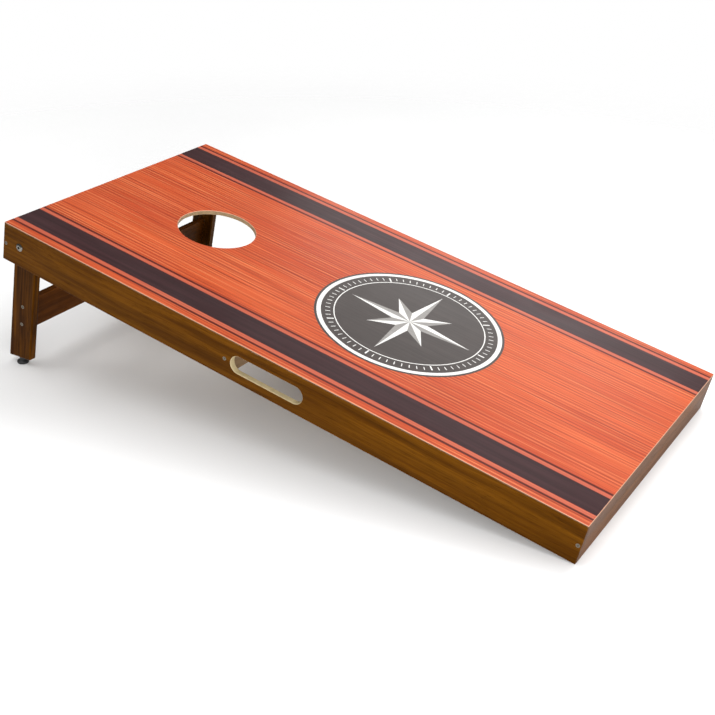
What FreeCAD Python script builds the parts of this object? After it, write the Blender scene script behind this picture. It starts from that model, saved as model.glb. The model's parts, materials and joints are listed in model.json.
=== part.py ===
import FreeCAD, Part
import math
import os

import Sketcher
from FreeCAD import Placement, Rotation, Vector

# A folding cornhole board: a printed deck on a shallow box of rails, held at a slope by a pair of
# folding legs with screw-in feet. Millimetres. In the board's own frame X runs across it, Y runs
# from the low front edge to the high rear edge and Z is square to the deck, with the rails'
# lower edges at Z = 0. The finished board is tipped about its front lower edge onto the floor.

SIZES = {
    # deck and frame
    "board_length": 1200,
    "board_width": 600,
    "frame_height": 77,
    "tilt_angle": 11,
    "surface_thick": 2.5,
    "surface_chamfer": 1,
    "panel_thick": 6,
    "panel_lap": 6,
    "rail_thick": 12,
    "edge_round": 1,
    "bag_hole_diameter": 152.4,
    "bag_hole_from_rear": 264,
    "hand_slot_length": 150,
    "hand_slot_height": 33,
    "hand_slot_from_rear": 607,
    "hand_slot_below_top": 41.5,
    "hand_slot_chamfer": 0.6,
    "brace_from_rear": 519,
    # wood screws
    "screw_below_top": 42,
    "screw_hole_radius": 2.05,
    "screw_shank_radius": 1.95,
    "countersink_radius": 3.6,
    "screw_head_radius": 3.5,
    "screw_head_depth": 1.55,
    "screw_length": 35,
    "screw_tip": 4,
    "screw_recess_width": 1,
    "screw_recess_length": 3.8,
    "screw_recess_depth": 1.5,
    "pilot_depth": 24,
    # legs
    "pivot_from_rear": 40,
    "pivot_below_top": 37,
    "leg_thick": 16,
    "leg_front": 26.4,
    "leg_rear": 27.6,
    "leg_round": 3,
    "leg_end_height": 14.6,
    "bar_thick": 12,
    "bar_height": 68,
    "bar_below_pivot": 155,
    "bar_screw_spacing": 39,
    # pivot hardware
    "running_gap": 0.3,
    "bolt_radius": 4,
    "bolt_hole_radius": 4.1,
    "bolt_bore_radius": 4.05,
    "bolt_head_radius": 7.5,
    "bolt_head_rim": 0.7,
    "bolt_head_height": 2.4,
    "bolt_head_flat_radius": 4.6,
    "bolt_end_chamfer": 0.8,
    "bolt_past_nut": 2,
    "socket_across_flats": 5,
    "socket_depth": 4,
    "washer_hole_radius": 4.2,
    "washer_chamfer": 0.3,
    "spacer_radius": 10,
    "spacer_thick": 4,
    "nut_washer_radius": 9,
    "nut_washer_thick": 1.6,
    "nut_across_flats": 13,
    "nut_hex_height": 6.5,
    "nut_collar_radius": 5.7,
    "nut_collar_height": 1.6,
    "nut_collar_round": 0.6,
    "nut_bore_radius": 4.02,
    # levelling feet
    "insert_radius": 4.75,
    "insert_waist_radius": 4.3,
    "insert_length": 12,
    "insert_flange_radius": 7,
    "insert_flange_thick": 1,
    "stem_radius": 3,
    "stem_bore_radius": 3.05,
    "stem_chamfer": 0.7,
    "stem_length": 32,
    "stem_room_radius": 3.6,
    "stem_room_depth": 27,
    "pad_radius": 11.5,
    "pad_rim_height": 5,
    "pad_round": 0.8,
    "pad_neck_radius": 6.5,
    "pad_shoulder_height": 7.5,
    "pad_socket_depth": 8,
    "pad_socket_radius": 3.02,
}

AXIS_X = Vector(1, 0, 0)
AXIS_Y = Vector(0, 1, 0)
AXIS_Z = Vector(0, 0, 1)
LEAST_CUT = 1e-3

# What follows from the sizes above.
TILT = math.radians(SIZES["tilt_angle"])
RAIL_HEIGHT = SIZES["frame_height"] - SIZES["surface_thick"]
INSIDE_WIDTH = SIZES["board_width"] - 2 * SIZES["rail_thick"]
# the rounded front lower edge touches the floor a little inside its sharp corner
FLOOR_DROP = SIZES["edge_round"] * (math.sin(TILT) + math.cos(TILT) - 1)
PIVOT_Y = SIZES["board_length"] - SIZES["pivot_from_rear"]
PIVOT_Z = SIZES["frame_height"] - SIZES["pivot_below_top"]
PIVOT_HEIGHT = PIVOT_Y * math.sin(TILT) + PIVOT_Z * math.cos(TILT) - FLOOR_DROP
LEG_OUTER_X = INSIDE_WIDTH / 2 - SIZES["spacer_thick"] - SIZES["running_gap"]
LEG_INNER_X = LEG_OUTER_X - SIZES["leg_thick"]


def drop_to_leg_end(y):
    """How far the leg's lower end, cut level with the floor, is below the pivot at this y."""
    return (PIVOT_HEIGHT - SIZES["leg_end_height"] + y * math.sin(TILT)) / math.cos(TILT)


LEG_MIDDLE_Y = (SIZES["leg_rear"] - SIZES["leg_front"]) / 2
NUT_STACK = SIZES["nut_washer_thick"] + SIZES["nut_hex_height"] + SIZES["nut_collar_height"]
DERIVED = {
    "rail_height": RAIL_HEIGHT,
    "inside_width": INSIDE_WIDTH,
    "bar_length": 2 * LEG_INNER_X,
    "leg_rear_drop": drop_to_leg_end(SIZES["leg_rear"]),
    "leg_front_drop": drop_to_leg_end(-SIZES["leg_front"]),
    "leg_end_radius": (SIZES["leg_rear"] + SIZES["leg_front"]) / 2,
    "leg_middle": LEG_MIDDLE_Y,
    "bolt_length": SIZES["board_width"] / 2 - LEG_INNER_X + SIZES["running_gap"]
    + NUT_STACK + SIZES["bolt_past_nut"],
    "pad_height": SIZES["leg_end_height"] - SIZES["insert_flange_thick"] - SIZES["running_gap"],
}

doc = FreeCAD.newDocument("cornhole_board")
sheet = doc.addObject("Spreadsheet::Sheet", "dims")
for line, (alias, value) in enumerate({**SIZES, **DERIVED}.items(), start=1):
    sheet.set(f"A{line}", alias)
    sheet.set(f"B{line}", str(value))
    sheet.setAlias(f"B{line}", alias)
doc.recompute()


def size(alias):
    return float(sheet.get(alias))


# ---- helpers for bodies, sketches and features ----


def new_body(label):
    body = doc.addObject("PartDesign::Body", label)
    body.Label = label
    return body


def attach(feature, body, role):
    """Lays a sketch or primitive on one of the body's own origin planes."""
    plane = next(f for f in body.Origin.OriginFeatures if f.Role == role)
    feature.AttachmentSupport = [(plane, "")]
    feature.MapMode = "FlatFace"


def new_sketch(body, name, role, lift=None):
    """A sketch on one of the body's own origin planes, moved along the plane's normal by lift."""
    sketch = body.newObject("Sketcher::SketchObject", f"{body.Name}_{name}")
    attach(sketch, body, role)
    if lift:
        sketch.setExpression("AttachmentOffset.Base.z", lift)
    return sketch


def make_sure_it_cut(feature, before):
    if not feature.Shape.Volume < before - LEAST_CUT:
        raise RuntimeError(f"{feature.Name} cut nothing")


def fix(sketch, kind, *ends, to):
    """Adds a dimension that starts at what it measures now and then follows an expression."""
    if kind == "Radius":
        now = sketch.Geometry[ends[0]].Radius
    else:
        point = sketch.getPoint(ends[-2], ends[-1])
        now = point.x if kind == "DistanceX" else point.y
    index = sketch.addConstraint(Sketcher.Constraint(kind, *ends, now))
    sketch.setExpression(f"Constraints[{index}]", to)


def add_outline(sketch, corners):
    """A closed outline of straight sides, with each corner's place bound to a pair of expressions."""
    count = len(corners)
    first = sketch.GeometryCount
    turns = [2 * math.pi * k / count for k in range(count)]
    guess = [Vector(math.cos(turn), math.sin(turn), 0) for turn in turns]
    for k in range(count):
        sketch.addGeometry(Part.LineSegment(guess[k], guess[(k + 1) % count]), False)
    for k, (x, y) in enumerate(corners):
        side_before = first + (k - 1) % count
        sketch.addConstraint(Sketcher.Constraint("Coincident", side_before, 2, first + k, 1))
        fix(sketch, "DistanceX", -1, 1, first + k, 1, to=x)
        fix(sketch, "DistanceY", -1, 1, first + k, 1, to=y)


def add_rectangle(sketch, left, bottom, right, top):
    add_outline(sketch, [(left, bottom), (right, bottom), (right, top), (left, top)])


def add_circle(sketch, x, y, radius):
    circle = sketch.addGeometry(Part.Circle(Vector(1, 1, 0), AXIS_Z, 1), False)
    fix(sketch, "Radius", circle, to=radius)
    fix(sketch, "DistanceX", -1, 1, circle, 3, to=x)
    fix(sketch, "DistanceY", -1, 1, circle, 3, to=y)


def add_pad(body, name, sketch, length, reverse=False, both_ways=False):
    pad = body.newObject("PartDesign::Pad", f"{body.Name}_{name}")
    pad.Profile = sketch
    pad.setExpression("Length", length)
    pad.Reversed = reverse
    pad.Midplane = both_ways
    doc.recompute()


def add_pocket(body, name, sketch, depth, reverse=False, both_ways=False):
    """Cuts the sketch's shape out against its normal, and makes sure that it cut something."""
    before = body.Tip.Shape.Volume
    pocket = body.newObject("PartDesign::Pocket", f"{body.Name}_{name}")
    pocket.Profile = sketch
    pocket.setExpression("Length", depth)
    pocket.Reversed = reverse
    pocket.Midplane = both_ways
    doc.recompute()
    make_sure_it_cut(pocket, before)


def add_turned(body, name, corners, role="XZ_Plane", axis="V_Axis"):
    """A body turned about one of its own axes from an outline."""
    sketch = new_sketch(body, f"{name}_outline", role)
    add_outline(sketch, corners)
    doc.recompute()
    turned = body.newObject("PartDesign::Revolution", f"{body.Name}_{name}")
    turned.Profile = sketch
    turned.ReferenceAxis = (sketch, [axis])
    turned.Angle = 360
    doc.recompute()


def add_edge_work(body, kind, name, sizing, wanted):
    """A Fillet or Chamfer of that size on every edge that the test wants."""
    base = body.Tip
    names = [f"Edge{k}" for k, edge in enumerate(base.Shape.Edges, start=1) if wanted(edge)]
    if not names:
        raise RuntimeError(f"{body.Name}: no edge for {name}")
    work = body.newObject(f"PartDesign::{kind}", f"{body.Name}_{name}")
    work.Base = (base, names)
    work.setExpression("Radius" if kind == "Fillet" else "Size", sizing)
    doc.recompute()


def near(value, other):
    return abs(value - other) < 1e-3


def flat_at(edge, axis, value):
    """Whether the whole edge lies in the plane where that axis, x, y or z, has that value."""
    box = edge.BoundBox
    letter = axis.upper()
    low, high = getattr(box, f"{letter}Min"), getattr(box, f"{letter}Max")
    return near(low, value) and near(high, value)


def is_round(edge, radius):
    return isinstance(edge.Curve, Part.Circle) and near(edge.Curve.Radius, radius)


def along(edge, axis):
    """Whether a straight edge runs along that axis."""
    if not isinstance(edge.Curve, Part.Line):
        return False
    return near(abs(edge.tangentAt(edge.FirstParameter).dot(axis)), 1)


# ---- deck ----


def make_playing_surface():
    """The printed sheet that covers the whole top, with the bag hole."""
    body = new_body("playing_surface")
    sketch = new_sketch(body, "outline", "XY_Plane")
    add_rectangle(sketch, "-dims.board_width / 2", "0", "dims.board_width / 2", "dims.board_length")
    add_circle(sketch, "0", "dims.board_length - dims.bag_hole_from_rear", "dims.bag_hole_diameter / 2")
    add_pad(body, "sheet", sketch, "dims.surface_thick")
    add_edge_work(body, "Fillet", "corners", "dims.edge_round", lambda e: along(e, AXIS_Z))
    top = size("surface_thick")
    add_edge_work(body, "Chamfer", "top_edges", "dims.surface_chamfer", lambda e: flat_at(e, "z", top))
    return body, Placement(Vector(0, 0, RAIL_HEIGHT), Rotation())


def make_deck_panel():
    """The board under the printed sheet, let into the rails all round."""
    body = new_body("deck_panel")
    sketch = new_sketch(body, "outline", "XY_Plane")
    side = "(dims.board_width / 2 - dims.rail_thick + dims.panel_lap)"
    add_rectangle(
        sketch,
        f"-{side}",
        "dims.rail_thick - dims.panel_lap",
        side,
        "dims.board_length - dims.rail_thick + dims.panel_lap",
    )
    add_circle(sketch, "0", "dims.board_length - dims.bag_hole_from_rear", "dims.bag_hole_diameter / 2")
    add_pad(body, "board", sketch, "dims.panel_thick")
    return body, Placement(Vector(0, 0, RAIL_HEIGHT - size("panel_thick")), Rotation())


# ---- frame ----


def add_hand_slot(sketch):
    """A slot with fully rounded ends, between two arcs and two straight sides."""
    half = size("hand_slot_height") / 2
    reach = size("hand_slot_length") / 2 - half
    y = size("board_length") - size("hand_slot_from_rear")
    z = size("frame_height") - size("hand_slot_below_top")
    quarter = math.pi / 2
    rear = Part.Circle(Vector(y + reach, z, 0), AXIS_Z, half)
    front = Part.Circle(Vector(y - reach, z, 0), AXIS_Z, half)
    rear_end = sketch.addGeometry(Part.ArcOfCircle(rear, -quarter, quarter), False)
    front_end = sketch.addGeometry(Part.ArcOfCircle(front, quarter, 3 * quarter), False)
    ends = [Vector(y + reach, z + half, 0), Vector(y - reach, z + half, 0)]
    upper = sketch.addGeometry(Part.LineSegment(*ends), False)
    ends = [Vector(y - reach, z - half, 0), Vector(y + reach, z - half, 0)]
    lower = sketch.addGeometry(Part.LineSegment(*ends), False)
    loop = [rear_end, upper, front_end, lower]
    for piece, following in zip(loop, loop[1:] + loop[:1]):
        sketch.addConstraint(Sketcher.Constraint("Tangent", piece, 2, following, 1))
    sketch.addConstraint(Sketcher.Constraint("Horizontal", upper))
    fix(sketch, "Radius", rear_end, to="dims.hand_slot_height / 2")
    middle = "dims.board_length - dims.hand_slot_from_rear"
    straight = "(dims.hand_slot_length - dims.hand_slot_height) / 2"
    fix(sketch, "DistanceX", -1, 1, rear_end, 3, to=f"{middle} + {straight}")
    fix(sketch, "DistanceX", -1, 1, front_end, 3, to=f"{middle} - {straight}")
    fix(sketch, "DistanceY", -1, 1, rear_end, 3, to="dims.frame_height - dims.hand_slot_below_top")


def add_countersinks(body, face):
    """Opens the screw holes out for their heads, on the face at that x."""
    hole = size("screw_hole_radius")
    spread = "dims.countersink_radius - dims.screw_hole_radius"
    add_edge_work(
        body, "Chamfer", "countersinks", spread, lambda e: is_round(e, hole) and flat_at(e, "x", face)
    )


def make_side_rail(label, side):
    """One long rail, with its inner face in its own plane x = 0 and its outer face to that side."""
    body = new_body(label)
    sketch = new_sketch(body, "outline", "YZ_Plane")
    add_rectangle(sketch, "0", "0", "dims.board_length", "dims.rail_height")
    add_hand_slot(sketch)
    screw_height = "dims.frame_height - dims.screw_below_top"
    screw_places = [
        "dims.rail_thick / 2",
        "dims.board_length - dims.brace_from_rear",
        "dims.board_length - dims.rail_thick / 2",
    ]
    for place in screw_places:
        add_circle(sketch, place, screw_height, "dims.screw_hole_radius")
    add_circle(
        sketch,
        "dims.board_length - dims.pivot_from_rear",
        "dims.frame_height - dims.pivot_below_top",
        "dims.bolt_hole_radius",
    )
    add_pad(body, "rail", sketch, "dims.rail_thick", reverse=side < 0)

    rebate = new_sketch(body, "rebate_outline", "XZ_Plane", "-dims.panel_lap")
    inner_edges = ("0", "dims.panel_lap") if side > 0 else ("-dims.panel_lap", "0")
    bottom = "dims.rail_height - dims.panel_thick"
    add_rectangle(rebate, inner_edges[0], bottom, inner_edges[1], "dims.rail_height")
    add_pocket(body, "rebate", rebate, "dims.board_length - 2 * dims.panel_lap")

    outer = side * size("rail_thick")
    slot_radius = size("hand_slot_height") / 2
    slot_middle = size("board_length") - size("hand_slot_from_rear")

    def around_slot(edge):
        on_face = flat_at(edge, "x", outer) or flat_at(edge, "x", 0)
        short = edge.Length < size("hand_slot_length")
        straight = along(edge, AXIS_Y) and near(edge.BoundBox.Center.y, slot_middle) and short
        return on_face and (straight or is_round(edge, slot_radius))

    def on_outline(edge):
        at_end = flat_at(edge, "y", 0) or flat_at(edge, "y", size("board_length"))
        rim = flat_at(edge, "x", outer) and (at_end or flat_at(edge, "z", 0))
        lower_corner = along(edge, AXIS_X) and near(edge.BoundBox.ZMin, 0)
        return rim or lower_corner

    add_edge_work(body, "Chamfer", "slot_edges", "dims.hand_slot_chamfer", around_slot)
    add_countersinks(body, outer)
    add_edge_work(body, "Fillet", "outer_edges", "dims.edge_round", on_outline)
    return body, Placement(Vector(side * size("inside_width") / 2, 0, 0), Rotation())


def add_end_pilots(body, half_length, places):
    """Screw pilot holes into both ends of a piece that lies along X. Each place is a (y, z) pair."""
    for end, reverse in (("", False), ("-", True)):
        name = "left_pilots" if reverse else "right_pilots"
        sketch = new_sketch(body, f"{name}_outline", "YZ_Plane", f"{end}({half_length})")
        for y, z in places:
            add_circle(sketch, y, z, "dims.screw_hole_radius")
        add_pocket(body, name, sketch, "dims.pilot_depth", reverse=reverse)


def make_end_rail(label, at_rear):
    """A cross rail between the side rails. The rear one is the front one turned about."""
    body = new_body(label)
    sketch = new_sketch(body, "section", "YZ_Plane")
    shelf = "dims.rail_height - dims.panel_thick"
    wall = "dims.rail_thick - dims.panel_lap"
    corners = [
        ("0", "0"),
        ("dims.rail_thick", "0"),
        ("dims.rail_thick", shelf),
        (wall, shelf),
        (wall, "dims.rail_height"),
        ("0", "dims.rail_height"),
    ]
    add_outline(sketch, corners)
    add_pad(body, "rail", sketch, "dims.inside_width", both_ways=True)
    height = "dims.frame_height - dims.screw_below_top"
    add_end_pilots(body, "dims.inside_width / 2", [("dims.rail_thick / 2", height)])
    add_edge_work(
        body, "Fillet", "lower_edge", "dims.edge_round", lambda e: flat_at(e, "y", 0) and flat_at(e, "z", 0)
    )
    if at_rear:
        return body, Placement(Vector(0, size("board_length"), 0), Rotation(AXIS_Z, 180))
    return body, Placement()


def make_centre_brace():
    """The cross member under the middle of the deck."""
    body = new_body("centre_brace")
    sketch = new_sketch(body, "section", "YZ_Plane")
    half = "dims.rail_thick / 2"
    add_rectangle(sketch, f"-{half}", "0", half, "dims.rail_height - dims.panel_thick")
    add_pad(body, "brace", sketch, "dims.inside_width", both_ways=True)
    add_end_pilots(body, "dims.inside_width / 2", [("0", "dims.frame_height - dims.screw_below_top")])
    return body, Placement(Vector(0, size("board_length") - size("brace_from_rear"), 0), Rotation())


# ---- legs, each in a frame with its origin at the pivot ----


def add_leg_outline(sketch):
    """Straight front and rear edges, a round upper end, and a lower end cut level with the floor."""
    front, rear = -size("leg_front"), size("leg_rear")
    radius, middle = size("leg_end_radius"), size("leg_middle")
    front_foot = Vector(front, -size("leg_front_drop"), 0)
    rear_foot = Vector(rear, -size("leg_rear_drop"), 0)
    centre = Vector(middle, -middle, 0)
    cap_circle = Part.Circle(centre, AXIS_Z, radius)
    cap = sketch.addGeometry(Part.ArcOfCircle(cap_circle, 0, math.pi), False)
    front_top = centre - Vector(radius, 0, 0)
    rear_top = centre + Vector(radius, 0, 0)
    front_side = sketch.addGeometry(Part.LineSegment(front_top, front_foot), False)
    lower_end = sketch.addGeometry(Part.LineSegment(front_foot, rear_foot), False)
    rear_side = sketch.addGeometry(Part.LineSegment(rear_foot, rear_top), False)
    sketch.addConstraint(Sketcher.Constraint("Tangent", cap, 2, front_side, 1))
    sketch.addConstraint(Sketcher.Constraint("Coincident", front_side, 2, lower_end, 1))
    sketch.addConstraint(Sketcher.Constraint("Coincident", lower_end, 2, rear_side, 1))
    sketch.addConstraint(Sketcher.Constraint("Tangent", rear_side, 2, cap, 1))
    sketch.addConstraint(Sketcher.Constraint("Vertical", front_side))
    sketch.addConstraint(Sketcher.Constraint("Vertical", rear_side))
    fix(sketch, "Radius", cap, to="dims.leg_end_radius")
    fix(sketch, "DistanceX", -1, 1, cap, 3, to="dims.leg_middle")
    fix(sketch, "DistanceY", -1, 1, cap, 3, to="-dims.leg_middle")
    fix(sketch, "DistanceY", -1, 1, lower_end, 1, to="-dims.leg_front_drop")
    fix(sketch, "DistanceY", -1, 1, lower_end, 2, to="-dims.leg_rear_drop")


def bar_screw_drops():
    half = "dims.bar_screw_spacing / 2"
    return [f"-dims.bar_below_pivot + {half}", f"-dims.bar_below_pivot - {half}"]


def make_leg(label, side):
    """One leg, with the pivot bore, the crossbar's screw holes and the foot's hole in its end."""
    body = new_body(label)
    sketch = new_sketch(body, "outline", "YZ_Plane")
    add_leg_outline(sketch)
    add_circle(sketch, "0", "0", "dims.bolt_bore_radius")
    for drop in bar_screw_drops():
        add_circle(sketch, "0", drop, "dims.screw_hole_radius")
    add_pad(body, "leg", sketch, "dims.leg_thick", both_ways=True)

    outer = side * size("leg_thick") / 2

    def on_side(edge):
        on_face = flat_at(edge, "x", outer) or flat_at(edge, "x", -outer)
        return on_face and (along(edge, AXIS_Z) or is_round(edge, size("leg_end_radius")))

    add_edge_work(body, "Fillet", "sides", "dims.leg_round", on_side)
    add_countersinks(body, outer)
    # the foot's hole goes straight up from the middle of the level end
    end_middle = Vector(0, LEG_MIDDLE_Y, -drop_to_leg_end(LEG_MIDDLE_Y))
    upright = Placement(end_middle, Rotation(AXIS_X, -size("tilt_angle")))
    for name, radius, depth in (
        ("insert_hole", "dims.insert_radius", "dims.insert_length"),
        ("stem_hole", "dims.stem_room_radius", "dims.stem_room_depth"),
    ):
        circle = new_sketch(body, f"{name}_outline", "XY_Plane")
        circle.AttachmentOffset = upright
        add_circle(circle, "0", "0", radius)
        add_pocket(body, name, circle, depth, reverse=True)
    place = Vector(side * (LEG_OUTER_X + LEG_INNER_X) / 2, PIVOT_Y, PIVOT_Z)
    return body, Placement(place, Rotation())


def make_leg_crossbar():
    """The bar that ties the two legs together."""
    body = new_body("leg_crossbar")
    sketch = new_sketch(body, "section", "YZ_Plane")
    half_thick, half_height = "dims.bar_thick / 2", "dims.bar_height / 2"
    bottom = f"-dims.bar_below_pivot - {half_height}"
    top = f"-dims.bar_below_pivot + {half_height}"
    add_rectangle(sketch, f"-{half_thick}", bottom, half_thick, top)
    add_pad(body, "bar", sketch, "dims.bar_length", both_ways=True)
    add_end_pilots(body, "dims.bar_length / 2", [("0", drop) for drop in bar_screw_drops()])
    at_least = size("bar_length") / 2
    add_edge_work(
        body, "Fillet", "long_edges", "dims.edge_round", lambda e: along(e, AXIS_X) and e.Length > at_least
    )
    return body, Placement(Vector(0, PIVOT_Y, PIVOT_Z), Rotation())


# ---- pivot hardware, each piece along its own +X, which points away from the board's middle ----


def outward(side, x):
    """The place of a pivot piece whose origin is at that distance from the board's middle."""
    turn = Rotation() if side > 0 else Rotation(AXIS_Z, 180)
    return Placement(Vector(side * x, PIVOT_Y, PIVOT_Z), turn)


def make_pivot_bolt(label, side):
    """A low-headed bolt with a hexagon socket. Its origin is under its head."""
    body = new_body(label)
    corners = [
        ("-dims.bolt_length", "0"),
        ("-dims.bolt_length", "dims.bolt_radius - dims.bolt_end_chamfer"),
        ("-dims.bolt_length + dims.bolt_end_chamfer", "dims.bolt_radius"),
        ("0", "dims.bolt_radius"),
        ("0", "dims.bolt_head_radius"),
        ("dims.bolt_head_rim", "dims.bolt_head_radius"),
        ("dims.bolt_head_height", "dims.bolt_head_flat_radius"),
        ("dims.bolt_head_height", "0"),
    ]
    add_turned(body, "bolt", corners, "XY_Plane", "H_Axis")
    before = body.Tip.Shape.Volume
    socket = body.newObject("PartDesign::SubtractivePrism", f"{body.Name}_socket")
    socket.Polygon = 6
    socket.setExpression("Circumradius", "dims.socket_across_flats / sqrt(3)")
    socket.setExpression("Height", "dims.socket_depth")
    attach(socket, body, "YZ_Plane")
    socket.setExpression("AttachmentOffset.Base.z", "dims.bolt_head_height - dims.socket_depth")
    doc.recompute()
    make_sure_it_cut(socket, before)
    return body, outward(side, size("board_width") / 2)


def make_ring(label, side, x, radius, thick):
    """A flat washer whose inner side is at that distance from the board's middle."""
    body = new_body(label)
    sketch = new_sketch(body, "outline", "YZ_Plane")
    add_circle(sketch, "0", "0", radius)
    add_circle(sketch, "0", "0", "dims.washer_hole_radius")
    add_pad(body, "ring", sketch, thick)
    add_edge_work(
        body, "Chamfer", "rims", "dims.washer_chamfer", lambda e: isinstance(e.Curve, Part.Circle)
    )
    return body, outward(side, x)


def make_lock_nut(label, side, x):
    """A hexagon nut with its round locking collar towards the board's middle."""
    body = new_body(label)
    hexagon = body.newObject("PartDesign::AdditivePrism", f"{body.Name}_hexagon")
    hexagon.Polygon = 6
    hexagon.setExpression("Circumradius", "dims.nut_across_flats / sqrt(3)")
    hexagon.setExpression("Height", "dims.nut_hex_height")
    attach(hexagon, body, "YZ_Plane")
    doc.recompute()
    collar = new_sketch(body, "collar_outline", "YZ_Plane")
    add_circle(collar, "0", "0", "dims.nut_collar_radius")
    add_pad(body, "collar", collar, "dims.nut_collar_height", reverse=True)
    radius, end = size("nut_collar_radius"), -size("nut_collar_height")

    def on_rim(edge):
        return is_round(edge, radius) and flat_at(edge, "x", end)

    add_edge_work(body, "Fillet", "collar_rim", "dims.nut_collar_round", on_rim)
    bore = new_sketch(body, "bore_outline", "YZ_Plane")
    add_circle(bore, "0", "0", "dims.nut_bore_radius")
    right_through = "2 * (dims.nut_hex_height + dims.nut_collar_height)"
    add_pocket(body, "bore", bore, right_through, both_ways=True)
    return body, outward(side, x)


# ---- levelling feet, each piece upright on its own Z, in the floor's frame ----


def make_foot_insert(label, place):
    """The threaded insert in the leg's end: two barbs and a flange, with its origin at the leg's end."""
    body = new_body(label)
    bore, barb, waist = "dims.stem_bore_radius", "dims.insert_radius", "dims.insert_waist_radius"
    third = "dims.insert_length / 3"
    corners = [
        (bore, "-dims.insert_flange_thick"),
        ("dims.insert_flange_radius", "-dims.insert_flange_thick"),
        ("dims.insert_flange_radius", "0"),
        (barb, "0"),
        (waist, third),
        (barb, third),
        (waist, f"2 * {third}"),
        (barb, f"2 * {third}"),
        (waist, "dims.insert_length"),
        (bore, "dims.insert_length"),
    ]
    add_turned(body, "insert", corners)
    return body, place


def make_foot_stem(label, place):
    """The stud that screws into the insert. Its origin is at the floor, under the pad."""
    body = new_body(label)
    bottom = "(dims.pad_height - dims.pad_socket_depth)"
    top = f"({bottom} + dims.stem_length)"
    corners = [
        ("0", bottom),
        ("dims.stem_radius", bottom),
        ("dims.stem_radius", f"{top} - dims.stem_chamfer"),
        ("dims.stem_radius - dims.stem_chamfer", top),
        ("0", top),
    ]
    add_turned(body, "stem", corners)
    return body, place


def make_foot_pad(label, place):
    """The moulded pad: a flat disc, a sloping shoulder and a neck that holds the stem."""
    body = new_body(label)
    socket_floor = "dims.pad_height - dims.pad_socket_depth"
    corners = [
        ("0", "0"),
        ("dims.pad_radius - dims.pad_round", "0"),
        ("dims.pad_radius", "dims.pad_round"),
        ("dims.pad_radius", "dims.pad_rim_height - dims.pad_round"),
        ("dims.pad_radius - dims.pad_round", "dims.pad_rim_height"),
        ("dims.pad_neck_radius", "dims.pad_shoulder_height"),
        ("dims.pad_neck_radius", "dims.pad_height"),
        ("dims.pad_socket_radius", "dims.pad_height"),
        ("dims.pad_socket_radius", socket_floor),
        ("0", socket_floor),
    ]
    add_turned(body, "pad", corners)
    return body, place


# ---- wood screws: several separate solids in one node ----


def make_screw(name, place):
    """A countersunk wood screw with a cross recess, pointing along -Z from the flat of its head."""
    shank = doc.addObject("Part::Cylinder", f"{name}_shank")
    shank.setExpression("Radius", "dims.screw_shank_radius")
    shank.setExpression("Height", "dims.screw_length - dims.screw_head_depth - dims.screw_tip")
    shank.Placement.Base = Vector(0, 0, size("screw_tip") - size("screw_length"))
    head = doc.addObject("Part::Cone", f"{name}_head")
    head.setExpression("Radius1", "dims.screw_shank_radius")
    head.setExpression("Radius2", "dims.screw_head_radius")
    head.setExpression("Height", "dims.screw_head_depth")
    head.Placement.Base = Vector(0, 0, -size("screw_head_depth"))
    tip = doc.addObject("Part::Cone", f"{name}_tip")
    tip.Radius1 = 0
    tip.setExpression("Radius2", "dims.screw_shank_radius")
    tip.setExpression("Height", "dims.screw_tip")
    tip.Placement.Base = Vector(0, 0, -size("screw_length"))
    blank = doc.addObject("Part::MultiFuse", f"{name}_blank")
    blank.Shapes = [shank, head, tip]
    arms = []
    half_length, half_width = size("screw_recess_length") / 2, size("screw_recess_width") / 2
    corner = Vector(-half_length, -half_width, -size("screw_recess_depth"))
    for turn in (0, 90):
        arm = doc.addObject("Part::Box", f"{name}_recess_{turn}")
        arm.setExpression("Length", "dims.screw_recess_length")
        arm.setExpression("Width", "dims.screw_recess_width")
        arm.setExpression("Height", "2 * dims.screw_recess_depth")
        spin = Rotation(AXIS_Z, turn)
        arm.Placement = Placement(spin.multVec(corner), spin)
        arms.append(arm)
    recess = doc.addObject("Part::MultiFuse", f"{name}_recess")
    recess.Shapes = arms
    screw = doc.addObject("Part::Cut", name)
    screw.Base = blank
    screw.Tool = recess
    screw.Placement = place
    return screw


def facing(side):
    """The turn that points a screw's head to that side of the board."""
    return Rotation(AXIS_Y, 90 * side)


def make_screws(label, places):
    """A node of several screws, at (side, x, y, z) places in the board's frame."""
    screws = []
    for number, (side, x, y, z) in enumerate(places):
        place = BOARD.multiply(Placement(Vector(side * x, y, z), facing(side)))
        screws.append(make_screw(f"{label}_{number}", place))
    group = doc.addObject("Part::Compound", label)
    group.Label = label
    group.Links = screws
    return group


# ---- the board as it stands ----

# tipped about its front lower edge, so that the rounded edge just touches the floor
BOARD = Placement(Vector(0, 0, -FLOOR_DROP), Rotation(AXIS_X, size("tilt_angle")))
SIDES = (("left", -1), ("right", 1))

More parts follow.
